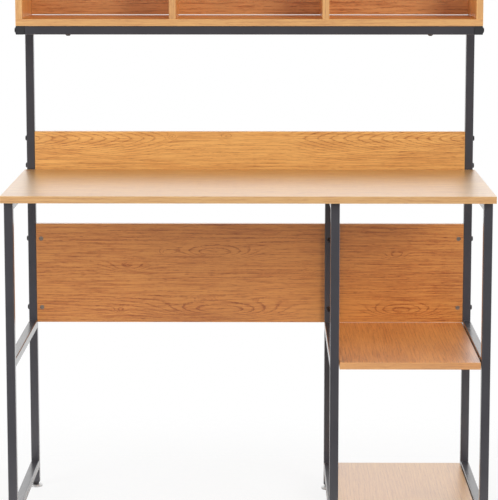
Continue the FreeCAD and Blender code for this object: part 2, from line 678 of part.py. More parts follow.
def fastener(doc, label, diameter, length, head_diameter, head_height, rim_kind):
    """A bolt or screw that seats at the local origin, its head above with a domed or bevelled rim."""
    body = new_body(doc, label)
    profile = new_sketch(body, "XZ_Plane", "Profile")
    head_radius, shank_radius = f"{head_diameter} / 2", f"{diameter} / 2"
    corners = [("0", head_height), ("0", f"-{length}"), (shank_radius, f"-{length}")]
    corners += [(shank_radius, "0"), (head_radius, "0"), (head_radius, head_height)]
    outline(profile, corners)
    blank = revolve(body, profile, "Blank")
    top = formula_value(blank, head_height) - NEAR
    rim = edges_where(blank, lambda edge: edge.BoundBox.ZMin > top and edge.Closed)
    ease(body, blank, rim_kind, f"{head_height} * Sizes.rim_share", rim)
    return body


def cut_socket(body):
    """The hexagonal recess in the top of a bolt's head."""
    sketch = new_sketch(body, "XY_Plane", "SocketShape")
    hexagon(sketch, "Sizes.socket_width")
    sketch.setExpression("AttachmentOffset.Base.z", "Sizes.bolt_head_height")
    cut_blind(body, sketch, "Socket", "Sizes.socket_depth", along_normal=False)


def bolts(doc):
    """Bolts through the uprights and the arms, heads outwards."""
    bolt = fastener(
        doc, "BoltShape", "Sizes.bolt_diameter", "Sizes.bolt_length",
        "Sizes.bolt_head_diameter", "Sizes.bolt_head_height", "Fillet",
    )
    cut_socket(bolt)
    places = []
    for sign in SIDES.values():
        face = f"{sign} * {FRAME_WIDTH} / 2"
        places += [(face, y, z, HEAD_OUT[sign]) for y, z in upright_bolts()]
        places.append((face, FRONT_RAIL_Y, HUTCH_RAIL_Z, HEAD_OUT[sign]))
    copies(doc, "frame_bolts", bolt, places)


def barrel_nuts(doc):
    """Cross-drilled nuts, from the front of the modesty panel and the rear of the upstand.

    The slot in each face lies along the threaded hole, to show which way the nut is turned.
    """
    body = new_body(doc, "NutShape")
    face = new_sketch(body, "XY_Plane", "Face")
    circle(face, "0", "0", "Sizes.nut_diameter")
    pad(body, face, "Barrel", "Sizes.nut_length", reverse=True)
    middle = "-(Sizes.board_thickness / 2 - Sizes.nut_recess)"
    drill(body, "YZ_Plane", "Thread", BOLT_THREAD, [("0", middle)])
    slot = new_sketch(body, "XY_Plane", "SlotShape")
    rectangle(slot, NUT_BORE, "Sizes.nut_slot_width")
    cut_blind(body, slot, "Slot", "Sizes.nut_slot_depth", along_normal=False)
    front = f"{UPRIGHT_FRONT} + Sizes.nut_recess"
    rear = f"{UPRIGHT_FRONT} + Sizes.board_thickness - Sizes.nut_recess"
    places = []
    for x in both(NUT_X):
        for rise in both(MODESTY_BOLT_RISE):
            places.append((x, front, f"{MODESTY_Z} + {rise}", HEAD_FRONT))
        for rise in both(UPSTAND_BOLT_RISE):
            places.append((x, rear, f"{UPSTAND_Z} + {rise}", HEAD_REAR))
    copies(doc, "barrel_nuts", body, places)


def rail_screws(doc):
    """Long screws through a tube into a board, in three groups."""
    length = "(Sizes.tube_width + Sizes.screw_grip)"
    screw = fastener(
        doc, "RailScrewShape", "Sizes.screw_diameter", length,
        "Sizes.screw_head_diameter", "Sizes.screw_head_height", "Chamfer",
    )
    under_desk = f"{DESK_UNDERSIDE} - Sizes.tube_width"
    rows = [f"{INNER_RAIL_Y} + {spread}" for spread in both(DESK_SCREW_SPREAD)]
    desk = [(x, y, under_desk, HEAD_DOWN) for x in (f"-{SIDE_X}", INNER_X, SIDE_X) for y in rows]
    copies(doc, "desktop_screws", screw, desk)
    under_hutch = "Sizes.hutch_underside - Sizes.tube_width"
    columns = both("Sizes.hutch_screw_spacing / 2")
    hutch = [(x, y, under_hutch, HEAD_DOWN) for x in columns for y in (FRONT_RAIL_Y, UPRIGHT_Y)]
    copies(doc, "hutch_screws", screw, hutch)
    front = f"{UPRIGHT_FRONT} - Sizes.tube_width"
    heights = [f"{MODESTY_Z} + {rise}" for rise in both(MODESTY_BOLT_RISE)]
    copies(doc, "inner_leg_screws", screw, [(INNER_X, front, z, HEAD_FRONT) for z in heights])


def shelf_tab_shape(doc):
    """A plate that is welded under a rail and reaches under the shelf, drilled for a screw."""
    body = new_body(doc, "TabShape")
    shape = new_sketch(body, "XY_Plane", "Plate")
    inner, outer, half = "-Sizes.tab_weld", "Sizes.tab_reach", "Sizes.tab_width / 2"
    outline(shape, [(inner, f"-{half}"), (outer, f"-{half}"), (outer, half), (inner, half)])
    plate = pad(body, shape, "Tab", "Sizes.tab_thickness", reverse=True)
    free = edges_where(plate, lambda edge: runs_along(edge, Z_AXIS) and edge.CenterOfMass.x > 0)
    ease(body, plate, "Fillet", "Sizes.tab_corner", free)
    drill(body, "XY_Plane", "Hole", SCREW_HOLE, [(TAB_HOLE_REACH, "0")])
    return body


def shelf_fixings(doc):
    """The welded tabs under the shelves and the short screws through them."""
    screw = fastener(
        doc, "ShelfScrewShape", "Sizes.screw_diameter", "(Sizes.tab_thickness + Sizes.screw_grip)",
        "Sizes.screw_head_diameter", "Sizes.screw_head_height", "Chamfer",
    )
    tabs = []
    screws = []
    for z in SHELF_RAILS.values():
        underside = f"{z} - Sizes.tube_width / 2"
        for edge, sign, turn in ((BAY_LEFT, 1, UPRIGHT), (BAY_RIGHT, -1, TURNED)):
            for spread in both(TAB_SPREAD):
                y = f"{INNER_RAIL_Y} + {spread}"
                tabs.append((edge, y, underside, turn))
                x = f"{edge} + {sign} * {TAB_HOLE_REACH}"
                screws.append((x, y, f"{underside} - Sizes.tab_thickness", HEAD_DOWN))
    copies(doc, "shelf_tabs", shelf_tab_shape(doc), tabs)
    copies(doc, "shelf_screws", screw, screws)


def dowels(doc):
    """Wooden dowels in the hutch's joints, each seated in its shallow hole."""
    body = new_body(doc, "DowelShape")
    face = new_sketch(body, "XY_Plane", "Section")
    circle(face, "0", "0", "Sizes.dowel_diameter")
    peg = pad(body, face, "Peg", "Sizes.dowel_length")
    ease(body, peg, "Chamfer", "Sizes.dowel_easing", edges_where(peg, lambda edge: edge.Closed))
    places = []
    for x in upright_board_places():
        for spread in both(DOWEL_SPREAD):
            y = f"{DOWEL_Y} + {spread}"
            places.append((x, y, f"{CUBBY_FLOOR} - Sizes.dowel_seat", UPRIGHT))
            places.append((x, y, f"{CUBBY_CEILING} + Sizes.dowel_seat", HEAD_DOWN))
    middle_y = f"{BACK_FRONT} + Sizes.board_thickness / 2"
    for sign in SIDES.values():
        seat = f"{sign} * ({FRAME_WIDTH} / 2 - Sizes.board_thickness + Sizes.dowel_seat)"
        for rise in both(DOWEL_RISE):
            places.append((seat, middle_y, f"{CUBBY_MIDDLE_Z} + {rise}", HEAD_OUT[-sign]))
    copies(doc, "hutch_dowels", body, places)


# ---- the whole desk


def nodes(doc):
    """The pieces to write: bodies and groups whose label is a node's name in lower case."""
    kinds = ("PartDesign::Body", "Part::Compound")
    pieces = [item for item in doc.Objects if item.TypeId in kinds]
    return [item for item in pieces if item.Label == item.Label.lower()]


def check(doc):
    """Stops if any object failed or a piece's shape is empty or invalid."""
    for item in doc.Objects:
        if {"Invalid", "Error"} & set(item.State):
            raise RuntimeError(f"{item.Label}: {item.State}")
    for piece in nodes(doc):
        if piece.Shape.isNull() or not piece.Shape.isValid() or not piece.Shape.Solids:
            raise RuntimeError(f"{piece.Label}: bad shape")


def main():
    doc = FreeCAD.newDocument("StudentDesk")
    make_sheet(doc)
    for side, sign in SIDES.items():
        side_frame(doc, side, sign)
    inner_frame(doc)
    cross_rails(doc)
    desktop(doc)
    upright_panels(doc)
    shelves(doc)
    hutch_base_and_top(doc)
    hutch_sides(doc)
    hutch_dividers(doc)
    hutch_back(doc)
    feet(doc)
    plugs(doc)
    bolts(doc)
    barrel_nuts(doc)
    rail_screws(doc)
    shelf_fixings(doc)
    dowels(doc)
    doc.recompute()
    check(doc)
    os.makedirs("parts", exist_ok=True)
    for piece in nodes(doc):
        piece.Shape.exportStep(f"parts/{piece.Label}.step")


main()
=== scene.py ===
"""Looks, camera and light for a student desk with a hutch.

Metres, in the CAD model's frame. The desk stands on the floor at the origin and faces -Y.
"""
import json
import math
from collections import namedtuple

import bmesh
import bpy
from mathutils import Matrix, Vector

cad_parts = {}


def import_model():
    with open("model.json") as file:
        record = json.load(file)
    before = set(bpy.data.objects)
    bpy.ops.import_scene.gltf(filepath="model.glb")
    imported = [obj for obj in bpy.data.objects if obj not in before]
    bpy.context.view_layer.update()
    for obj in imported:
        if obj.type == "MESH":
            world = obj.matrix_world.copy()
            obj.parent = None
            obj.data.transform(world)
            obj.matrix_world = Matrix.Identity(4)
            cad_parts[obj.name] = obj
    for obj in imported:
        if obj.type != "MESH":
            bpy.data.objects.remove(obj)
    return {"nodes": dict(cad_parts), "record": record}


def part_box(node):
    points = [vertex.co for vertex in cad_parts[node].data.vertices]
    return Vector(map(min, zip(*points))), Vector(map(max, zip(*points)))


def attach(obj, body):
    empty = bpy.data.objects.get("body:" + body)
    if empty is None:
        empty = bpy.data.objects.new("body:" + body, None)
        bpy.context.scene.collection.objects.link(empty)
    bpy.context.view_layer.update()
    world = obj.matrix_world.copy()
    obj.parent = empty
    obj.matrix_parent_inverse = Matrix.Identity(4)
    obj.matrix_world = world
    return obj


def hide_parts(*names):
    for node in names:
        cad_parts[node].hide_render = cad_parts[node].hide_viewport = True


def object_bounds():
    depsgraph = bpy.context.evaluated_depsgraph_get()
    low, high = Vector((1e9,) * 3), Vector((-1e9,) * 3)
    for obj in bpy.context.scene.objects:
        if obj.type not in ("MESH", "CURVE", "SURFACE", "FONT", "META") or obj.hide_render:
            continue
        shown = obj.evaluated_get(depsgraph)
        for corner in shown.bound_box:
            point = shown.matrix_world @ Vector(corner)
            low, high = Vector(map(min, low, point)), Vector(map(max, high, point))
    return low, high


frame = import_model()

CAD_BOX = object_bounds()
AXES = "xyz"
MM = 0.001
WHITE = (1.0, 1.0, 1.0, 1.0)


# ---- values: oak boards

# the heart line of a print: its place across the grain, the middle and half the length of its
# straight stretch along the grain, and the slope of the arches beyond that stretch
Heart = namedtuple("Heart", "across middle half_straight slope")
# a heart line that lies outside every board leaves only plain lines
STRAIGHT = Heart(-1.0, 0.0, 0.0, 0.0)
# an eye or a knot in the grain, and its number of closed rings
Figure = namedtuple("Figure", "along across half_length half_width rings")
# grain and thick are the axes along which the grain and the board's thickness lie, and the tint
# paints the board's light and shade into its print
Board = namedtuple("Board", "grain thick seed tint heart figures contrast",
                   defaults=(STRAIGHT, (), 1.0))

# tints: factors on the print's red, green and blue. The tints other than PLAIN paint light and
# shade into the print of one laminate, each as noted below
PLAIN = (1.0, 1.0, 1.0)
# painted glare: paler and bluer print, for the desktop's grazing reflection
PAINTED_GLARE_PALE = (0.99, 1.14, 1.46)
# painted light: lighter print, for the hutch boards lit from above and in front
PAINTED_LIGHT = (1.16, 1.20, 1.26)
# painted shade: darker and redder print, for the modesty panel in the shade under the desktop
PAINTED_SHADE_RED = (0.74, 0.56, 0.44)
# painted light: lighter and redder print, for the middle shelf in the bay under the desktop
PAINTED_LIGHT_RUDDY = (1.12, 0.98, 0.99)
# painted shade: darker and redder print, for the hutch back in the shade of the cubbies
PAINTED_SHADE_REDDISH = (0.88, 0.78, 0.91)
# painted glare: duller and bluer print, for the bottom shelf's grazing reflection
PAINTED_GLARE_DULL = (0.84, 0.93, 1.08)

UPSTAND_FIGURES = (
    Figure(-0.179, 0.831, 0.009, 0.005, 2.4),
    Figure(-0.054, 0.832, 0.014, 0.005, 2.0),
)
MODESTY_FIGURES = (
    Figure(-0.193, 0.560, 0.020, 0.008, 2.5),
    Figure(-0.080, 0.558, 0.095, 0.020, 6.0),
    Figure(-0.285, 0.525, 0.045, 0.014, 3.0),
    Figure(-0.302, 0.424, 0.014, 0.008, 2.0),
    Figure(-0.060, 0.423, 0.140, 0.022, 6.5),
    Figure(0.355, 0.422, 0.080, 0.020, 5.5),
    Figure(0.341, 0.553, 0.026, 0.010, 2.5),
)
# each board's tint paints its light and shade into the print, as noted at the tints
BOARDS = {
    "desktop": Board("x", "z", 3.0, PAINTED_GLARE_PALE),
    "upstand": Board(
        "x", "y", 11.0, PLAIN, Heart(0.827, -0.045, 0.130, 0.29), UPSTAND_FIGURES, contrast=0.9,
    ),
    "modesty_panel": Board("x", "y", 23.0, PAINTED_SHADE_RED, figures=MODESTY_FIGURES, contrast=1.1),
    "middle_shelf": Board("y", "z", 31.0, PAINTED_LIGHT_RUDDY, contrast=0.9),
    "bottom_shelf": Board("y", "z", 43.0, PAINTED_GLARE_DULL, contrast=0.5),
    "hutch_base": Board("x", "z", 57.0, PAINTED_LIGHT),
    "hutch_top": Board("x", "z", 61.0, PAINTED_LIGHT, Heart(0.150, 0.100, 0.100, 0.25)),
    "hutch_left_side": Board("z", "x", 71.0, PAINTED_LIGHT),
    "hutch_right_side": Board("z", "x", 83.0, PAINTED_LIGHT),
    "hutch_left_divider": Board("z", "x", 97.0, PAINTED_LIGHT),
    "hutch_right_divider": Board("z", "x", 101.0, PAINTED_LIGHT),
    "hutch_back": Board("x", "y", 113.0, PAINTED_SHADE_REDDISH, Heart(1.235, 0.050, 0.050, 0.30), contrast=1.3),
}

# colours of the print, and where they lie on the scale of its tone
OAK_LIGHT = (0.860, 0.460, 0.130)
OAK_MIDDLE = (0.700, 0.322, 0.082)
OAK_DARK = (0.400, 0.125, 0.020)
LIGHT_TONE = 0.0
MIDDLE_TONE = 0.40
DARK_TONE = 1.0
# the tone that a board keeps when its contrast changes
MEAN_TONE = 0.38

# growth rings: their spacing; how far from the heart line the arches reach, how round their
# tips are, and how soon they are at full strength; the shares of a ring at which its dark line
# has gone and comes up again; and the heights of a figure between which it gains strength
RING_SPACING = 8.0 * MM
ARCH_REACH = 60.0 * MM
ARCH_ROUNDING = 5.0 * MM
ARCH_START = 50.0 * MM
LINE_FALL = 0.24
LINE_RISE = 0.86
FIGURE_SPAN = (0.1, 0.4)

# noise that is drawn out along the grain: cells a metre along, across and through the board
Noise = namedtuple("Noise", "cells detail roughness", defaults=(2.0, 0.5))
DRIFT = Noise((1.3, 9.0, 9.0), detail=1.5)
RIPPLE = Noise((22.0, 70.0, 1.0), detail=3.0)
TEETH = Noise((160.0, 520.0, 1.0))
FADING = Noise((2.5, 26.0, 26.0))
STREAKS = Noise((13.0, 420.0, 420.0), detail=3.0, roughness=0.6)
PORES = Noise((50.0, 620.0, 620.0), detail=1.0)
BANDS = Noise((3.0, 170.0, 170.0), detail=1.0)
PATCHES = Noise((1.6, 7.0, 7.0), detail=1.0)
RUBBING = Noise((30.0, 60.0, 60.0))

# the part of a noise that is used, and what it is mapped to where that isn't 0 to 1
FADING_SPAN = (0.35, 0.65, 0.15, 0.75)
PORE_SPAN = (0.56, 0.72)
RUBBING_SPAN = (0.4, 0.7, 0.1, 0.5)

# how many rings these noises shift the lines by
DRIFT_RINGS = 6.5
RIPPLE_RINGS = 0.35
TEETH_RINGS = 0.55

# how much each part of the print darkens it
LINE_WEIGHT = 0.66
STREAK_WEIGHT = 2.10
PORE_WEIGHT = 0.45
BAND_WEIGHT = 0.45
PATCH_WEIGHT = 0.60
TONE_OFFSET = -1.38

# parts of the normal: more than the first along the grain is a board's end, and less than the
# second along its thickness is its edge band
END_NORMAL = 0.7
EDGE_NORMAL = 0.75
BAND_TINT = (0.520, 0.283, 0.130, 1.0)
BAND_SHARE = 0.55
EDGE_WEAR_WIDTH = 1.8 * MM

# the laminate's surface
OAK_ROUGHNESS = 0.40
OAK_SPECULAR = 0.3
STREAK_ROUGHNESS = 0.10
WEAR_ROUGHNESS = 0.10
STREAK_RELIEF = 0.4
OAK_RELIEF = 0.03 * MM
OAK_RELIEF_STRENGTH = 0.5
OAK_COAT = 1.0
OAK_COAT_IOR = 2.2
OAK_COAT_ROUGHNESS = 0.32


# ---- values: finishes of the metal, plastic and beech pieces

# change is how far the colour varies, and rim is a metal's reflection at a grazing angle
Finish = namedtuple("Finish", "colour change roughness metallic coat rim",
                    defaults=(0.0, 0.0, 1.0))
FINISHES = {
    "black_tube": Finish((0.048, 0.046, 0.053), 0.10, 0.42, coat=1.0),
    "dark_steel": Finish((0.10, 0.095, 0.10), 0.15, 0.42, metallic=1.0, rim=0.45),
    "bright_zinc": Finish((0.70, 0.70, 0.70), 0.10, 0.38, metallic=0.7),
    # painted shade: zinc darkened and browned, for the barrel nuts in the shade of their recesses
    "painted_shade_zinc": Finish((0.44, 0.37, 0.32), 0.25, 0.45, metallic=0.7, rim=0.7),
    "black_plastic": Finish((0.035, 0.035, 0.038), 0.08, 0.50),
    "beech": Finish((0.60, 0.42, 0.25), 0.12, 0.60),
}
# nodes whose finish isn't the plain one of their slot; the barrel nuts' zinc has painted shade
OWN_FINISH = {"barrel_nuts": "painted_shade_zinc"}

# fine and broad noise, in cells a metre, and what they do to colour, gloss, wear and relief
FINE_CELLS = 900.0
FINE_DETAIL = 3.0
FINE_ROUGHNESS = 0.6
BROAD_CELLS = 14.0
FINE_SHARE = 0.4
DARKER_AT = 0.3
LIGHTER_AT = 0.7
CORNER_SPAN = (0.15, 0.5)
UNEVEN_SPAN = (0.35, 0.7, 0.1, 0.6)
FINE_GLOSS = 0.06
BROAD_GLOSS = 0.10
MEAN_GLOSS = 0.08
WORN_GAIN = 1.25
WORN_LIFT = 0.02
FINE_RELIEF = 0.02 * MM
FINE_RELIEF_STRENGTH = 0.6
TUBE_COAT_ROUGHNESS = 0.22


# ---- values: weld beads and threaded studs

REAR_TUBES = {
    "left": "left_rear_upright", "right": "right_rear_upright", "inner": "inner_rear_leg",
}
RAIL_LEVELS = ("top", "middle", "bottom")
BEAD_RADIUS = 1.6 * MM
BEAD_LENGTH = 16.0 * MM
BEAD_RIPPLES = 9
BEAD_STEPS = BEAD_RIPPLES * 4
BEAD_ANGLES = (0.0, 22.5, 45.0, 67.5, 90.0)
# shares of a bead's radius between its ripples and at its tips, and the slope up from the tips
BEAD_VALLEY = 0.80
BEAD_TIP = 0.35
BEAD_TIP_SLOPE = 6

CORNERS = ("left_front", "left_rear", "inner_front", "inner_rear", "right_front", "right_rear")
COLLAR_SIDES = 6
COLLAR_HEIGHT = 7.0 * MM
COLLAR_BEVEL = 0.5 * MM
THREAD_START = 0.5 * MM
THREAD_PITCH = 1.25 * MM
THREAD_MAJOR = 4.0 * MM
THREAD_MINOR = 3.35 * MM
THREAD_COLUMNS = 24
THREAD_STEP = THREAD_PITCH / 6
# share of a stud's radius at its tip, and the length over which that share would grow by 1
TIP_SHARE = 0.72
TIP_LENGTH = 4 * THREAD_PITCH


# ---- values: camera, floor and light

LENS = 155.65
SENSOR = 36.0
SHIFT_Y = -0.05
CAMERA_PLACE = (0.0356, -4.7333, 1.3446)
CAMERA_DOWN = 8.25
CAMERA_TURN = 0.43
CLIP_END = 100.0

FLOOR_HALF = 4.0
FLOOR_COLOUR = (0.92, 0.92, 0.92, 1.0)
FLOOR_GREY = (0.91, 0.91, 0.91, 1.0)
FLOOR_CELLS = 60.0
FLOOR_DETAIL = 3.0
FLOOR_ROUGHNESS = 0.8
FLOOR_SPECULAR = 0.2
# the floor fades out over this distance from half the desk's width and depth, to a centimetre
FLOOR_REACH = 0.75
DESK_HALVES = tuple(round(half, 2) for half in CAD_BOX[1][:2])
# share of plain white that the camera sees in the floor
FLOOR_GLOW = 0.85

# strength of the even light, and of what gloss shows in front of the desk; the last two are the
# parts along Y of a ray's direction between which that rises to the white behind the desk
AMBIENT = 0.36
DIM_FRONT = 0.14
DIM_FROM = -0.35
DIM_TO = 0.10

# size is a square lamp's side, power is in watts, and mirrored says whether gloss shows the lamp
Lamp = namedtuple("Lamp", "name place target size power mirrored", defaults=(False,))
LAMPS = (
    Lamp("key", (2.15, -3.2, 2.0), (0.05, 0.0, 0.8), 1.5, 92.0),
    Lamp("fill", (-3.0, -2.8, 1.3), (0.0, 0.0, 0.7), 2.0, 50.0),
    Lamp("low_left", (-1.8, -1.5, 0.7), (-0.2, 0.1, 0.5), 0.9, 14.0),
    Lamp("low_right", (2.0, -1.2, 0.7), (0.3, 0.1, 0.5), 1.2, 4.0),
    Lamp("top", (0.0, -0.6, 3.6), (0.0, 0.0, 0.7), 2.2, 4.0),
    Lamp("back", (0.0, 3.4, 2.9), (0.0, 0.0, 0.75), 2.6, 22.0, mirrored=True),
    Lamp("back_fill", (-1.6, 3.8, 1.3), (0.0, 0.0, 0.7), 2.0, 60.0),
)


# ---- node trees

# numbers of the Mix node's two inputs and its output, for each kind of data
MIX_SOCKETS = {"VECTOR": (4, 5, 1), "RGBA": (6, 7, 2)}


class Tree:
    """A node tree, written as nested calls. A value is a number, a colour or a socket."""

    def __init__(self, tree):
        self.tree = tree

    def feed(self, socket, value):
        if isinstance(value, bpy.types.NodeSocket):
            self.tree.links.new(value, socket)
        else:
            socket.default_value = value

    def node(self, kind, inputs=(), **settings):
        made = self.tree.nodes.new("ShaderNode" + kind)
        for name, value in settings.items():
            setattr(made, name, value)
        for name, value in dict(inputs).items():
            self.feed(made.inputs[name], value)
        return made

    def math(self, operation, *values):
        made = self.node("Math", operation=operation)
        for socket, value in zip(made.inputs, values):
            self.feed(socket, value)
        return made.outputs[0]

    def add(self, first, *others):
        result = first
        for value in others:
            result = self.math("ADD", result, value)
        return result

    def minus(self, value, less):
        return self.math("SUBTRACT", value, less)

    def times(self, value, factor):
        return self.math("MULTIPLY", value, factor)

    def squared(self, value):
        return self.times(value, value)

    def absolute(self, value):
        return self.math("ABSOLUTE", value)

    def larger(self, first, second):
        return self.math("MAXIMUM", first, second)

    def smaller(self, first, second):
        return self.math("MINIMUM", first, second)

    def bell(self, square):
        """1 where the square of a distance is 0, and nearly 0 where it is over 4."""
        return self.math("EXPONENT", self.times(square, -1.0))

    def span(self, value, low, high, to_low=0.0, to_high=1.0):
        """Maps low..high to to_low..to_high and holds it there, with soft ends."""
        inputs = {
            "Value": value, "From Min": low, "From Max": high, "To Min": to_low, "To Max": to_high,
        }
        return self.node("MapRange", inputs, interpolation_type="SMOOTHSTEP").outputs[0]

    def choose(self, share, at_none, at_all):
        """Goes from one number to the other as the share goes from 0 to 1."""
        inputs = {"Value": share, "To Min": at_none, "To Max": at_all}
        return self.node("MapRange", inputs).outputs[0]

    def vector(self, x, y, z):
        return self.node("CombineXYZ", {"X": x, "Y": y, "Z": z}).outputs[0]

    def parts(self, vector):
        return list(self.node("SeparateXYZ", {"Vector": vector}).outputs)

    def noise(self, place, scale, detail=2.0, roughness=0.5):
        inputs = {"Vector": place, "Scale": scale, "Detail": detail, "Roughness": roughness}
        return self.node("TexNoise", inputs).outputs[0]

    def mix(self, share, first, second, kind="RGBA"):
        """Mixes two colours, or two vectors where the kind is VECTOR."""
        first_input, second_input, output = MIX_SOCKETS[kind]
        inputs = {"Factor": share, first_input: first, second_input: second}
        return self.node("Mix", data_type=kind, inputs=inputs).outputs[output]

    def mix_shaders(self, share, first, second):
        return self.node("MixShader", {0: share, 1: first, 2: second}).outputs[0]

    def ramp(self, value, *stops):
        made = self.node("ValToRGB", {"Fac": value})
        elements = made.color_ramp.elements
        while len(elements) < len(stops):
            elements.new(0.5)
        for element, (place, colour) in zip(elements, stops):
            element.position = place
            element.color = colour
        return made.outputs[0]


class Shader(Tree):
    """The node tree of a new material."""

    def __init__(self, name):
        self.material = bpy.data.materials.new(name)
        self.material.use_nodes = True
        super().__init__(self.material.node_tree)
        self.surface = self.tree.nodes["Principled BSDF"]

    def place_and_normal(self):
        """The parts of the place, and the absolute parts of the normal."""
        source = self.node("TexCoord").outputs
        normal = [self.absolute(part) for part in self.parts(source["Normal"])]
        return self.parts(source["Object"]), normal

    def bump(self, height, distance, strength):
        inputs = {"Height": height, "Distance": distance, "Strength": strength}
        self.feed(self.surface.inputs["Normal"], self.node("Bump", inputs).outputs[0])

    def finish(self, **values):
        """Sets the surface's sockets, with _ for the spaces in their names."""
        for name, value in values.items():
            self.feed(self.surface.inputs[name.replace("_", " ")], value)
        return self.material


# ---- oak


def grain_places(shader, board, place, normal):
    """Places along, across and through the grain, turned on the ends to run along their band."""
    across = next(axis for axis in AXES if axis not in (board.grain, board.thick))
    order = [AXES.index(axis) for axis in (board.grain, across, board.thick)]
    along, side, depth = (place[index] for index in order)
    on_end = shader.math("GREATER_THAN", normal[order[0]], END_NORMAL)
    lengthwise = shader.vector(along, side, depth)
    crosswise = shader.vector(side, depth, along)
    return shader.parts(shader.mix(on_end, lengthwise, crosswise, kind="VECTOR"))


def drawn_out(shader, grain, noise):
    """Noise that is stretched along the grain."""
    scaled = (shader.times(part, cells) for part, cells in zip(grain, noise.cells))
    return shader.noise(shader.vector(*scaled), 1.0, noise.detail, noise.roughness)


def arches(shader, along, across, heart):
    """The distance from the heart line, bent into arches, and how strong the arches are."""
    aside = shader.minus(across, heart.across)
    rounded = shader.math("SQRT", shader.add(shader.squared(aside), ARCH_ROUNDING ** 2))
    from_middle = shader.absolute(shader.minus(along, heart.middle))
    beyond = shader.larger(shader.minus(from_middle, heart.half_straight), 0.0)
    near = shader.bell(shader.squared(shader.math("DIVIDE", aside, ARCH_REACH)))
    arch = shader.times(shader.times(beyond, -heart.slope), near)
    strength = shader.times(near, shader.span(beyond, 0.0, ARCH_START))
    return shader.add(rounded, arch), strength


def figure_hill(shader, along, across, figure):
    """1 at the middle of a figure, and falling off round it."""
    far = shader.math("DIVIDE", shader.minus(along, figure.along), figure.half_length)
    side = shader.math("DIVIDE", shader.minus(across, figure.across), figure.half_width)
    return shader.bell(shader.add(shader.squared(far), shader.squared(side)))


def ring_field(shader, grain, layer, board):
    """A number that grows by one from ring to ring, and how strong the figures are."""
    along, across, _ = grain
    distance, figured = arches(shader, along, across, board.heart)
    plain = shader.math("DIVIDE", shader.add(distance, layer), RING_SPACING)
    drift = shader.times(drawn_out(shader, grain, DRIFT), DRIFT_RINGS)
    ripple = shader.times(drawn_out(shader, grain, RIPPLE), RIPPLE_RINGS)
    teeth = shader.times(drawn_out(shader, grain, TEETH), TEETH_RINGS)
    field = shader.add(plain, drift, ripple, teeth)
    for figure in board.figures:
        hill = figure_hill(shader, along, across, figure)
        field = shader.add(field, shader.times(hill, figure.rings))
        figured = shader.larger(figured, shader.span(hill, *FIGURE_SPAN))
    return field, figured


def ring_lines(shader, grain, layer, board):
    """A dark line at each ring, fading in and out except in the figures."""
    field, figured = ring_field(shader, grain, layer, board)
    part = shader.math("FRACT", field)
    after = shader.span(part, 0.0, LINE_FALL, 1.0, 0.0)
    before = shader.span(part, LINE_RISE, 1.0, 0.0, 1.0)
    fading = shader.span(drawn_out(shader, grain, FADING), *FADING_SPAN)
    return shader.times(shader.larger(after, before), shader.larger(fading, figured))


def print_tone(shader, lines, streaks, pores, grain, contrast):
    """How dark the print is, from LIGHT_TONE to DARK_TONE."""
    tone = shader.add(
        shader.times(lines, LINE_WEIGHT), shader.times(streaks, STREAK_WEIGHT),
        shader.times(pores, PORE_WEIGHT),
        shader.times(drawn_out(shader, grain, BANDS), BAND_WEIGHT),
        shader.times(drawn_out(shader, grain, PATCHES), PATCH_WEIGHT), TONE_OFFSET,
    )
    return shader.add(shader.times(tone, contrast), MEAN_TONE * (1 - contrast))


def nearest_edge(shader, place, box):
    """Distance along the surface of a board to its nearest edge."""
    gaps = []
    for part, low, high in zip(place, *box):
        from_middle = shader.absolute(shader.minus(part, (low + high) / 2))
        gaps.append(shader.minus((high - low) / 2, from_middle))
    lesser = shader.smaller(gaps[0], gaps[1])
    greater = shader.larger(gaps[0], gaps[1])
    return shader.larger(lesser, shader.smaller(greater, gaps[2]))


def edge_wear(shader, place, grain, box):
    """How far the print is rubbed away, along its edges."""
    rubbed = shader.span(nearest_edge(shader, place, box), 0.0, EDGE_WEAR_WIDTH, 1.0, 0.0)
    uneven = shader.span(drawn_out(shader, grain, RUBBING), *RUBBING_SPAN)
    return shader.times(rubbed, uneven)


def tinted(colour, tint):
    return tuple(part * share for part, share in zip(colour, tint)) + (1.0,)


def oak(node, board):
    """Plain-sawn oak print with matching edge band, its grain along one axis."""
    shader = Shader("oak_" + node)
    place, normal = shader.place_and_normal()
    thick = AXES.index(board.thick)
    low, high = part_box(node)
    along, side, depth = grain_places(shader, board, place, normal)
    layer = shader.minus(depth, (low[thick] + high[thick]) / 2)
    grain = (along, side, shader.add(depth, board.seed))
    lines = ring_lines(shader, grain, layer, board)
    streaks = drawn_out(shader, grain, STREAKS)
    pores = shader.span(drawn_out(shader, grain, PORES), *PORE_SPAN)
    tone = print_tone(shader, lines, streaks, pores, grain, board.contrast)
    # the board's tint paints its light and shade into the print's three colours
    light = tinted(OAK_LIGHT, board.tint)
    middle = tinted(OAK_MIDDLE, board.tint)
    dark = tinted(OAK_DARK, board.tint)
    colour = shader.ramp(tone, (LIGHT_TONE, light), (MIDDLE_TONE, middle), (DARK_TONE, dark))
    on_edge = shader.math("LESS_THAN", normal[thick], EDGE_NORMAL)
    colour = shader.mix(shader.times(on_edge, BAND_SHARE), colour, BAND_TINT)
    wear = edge_wear(shader, place, grain, (low, high))
    colour = shader.mix(wear, colour, light)
    roughness = shader.add(
        shader.times(streaks, STREAK_ROUGHNESS), shader.times(wear, WEAR_ROUGHNESS), OAK_ROUGHNESS
    )
    relief = shader.add(shader.times(pores, -1.0), shader.times(streaks, STREAK_RELIEF))
    shader.bump(relief, OAK_RELIEF, OAK_RELIEF_STRENGTH)
    return shader.finish(
        Base_Color=colour, Roughness=roughness, Specular_IOR_Level=OAK_SPECULAR,
        Coat_Weight=OAK_COAT, Coat_IOR=OAK_COAT_IOR, Coat_Roughness=OAK_COAT_ROUGHNESS,
    )


# ---- the other finishes


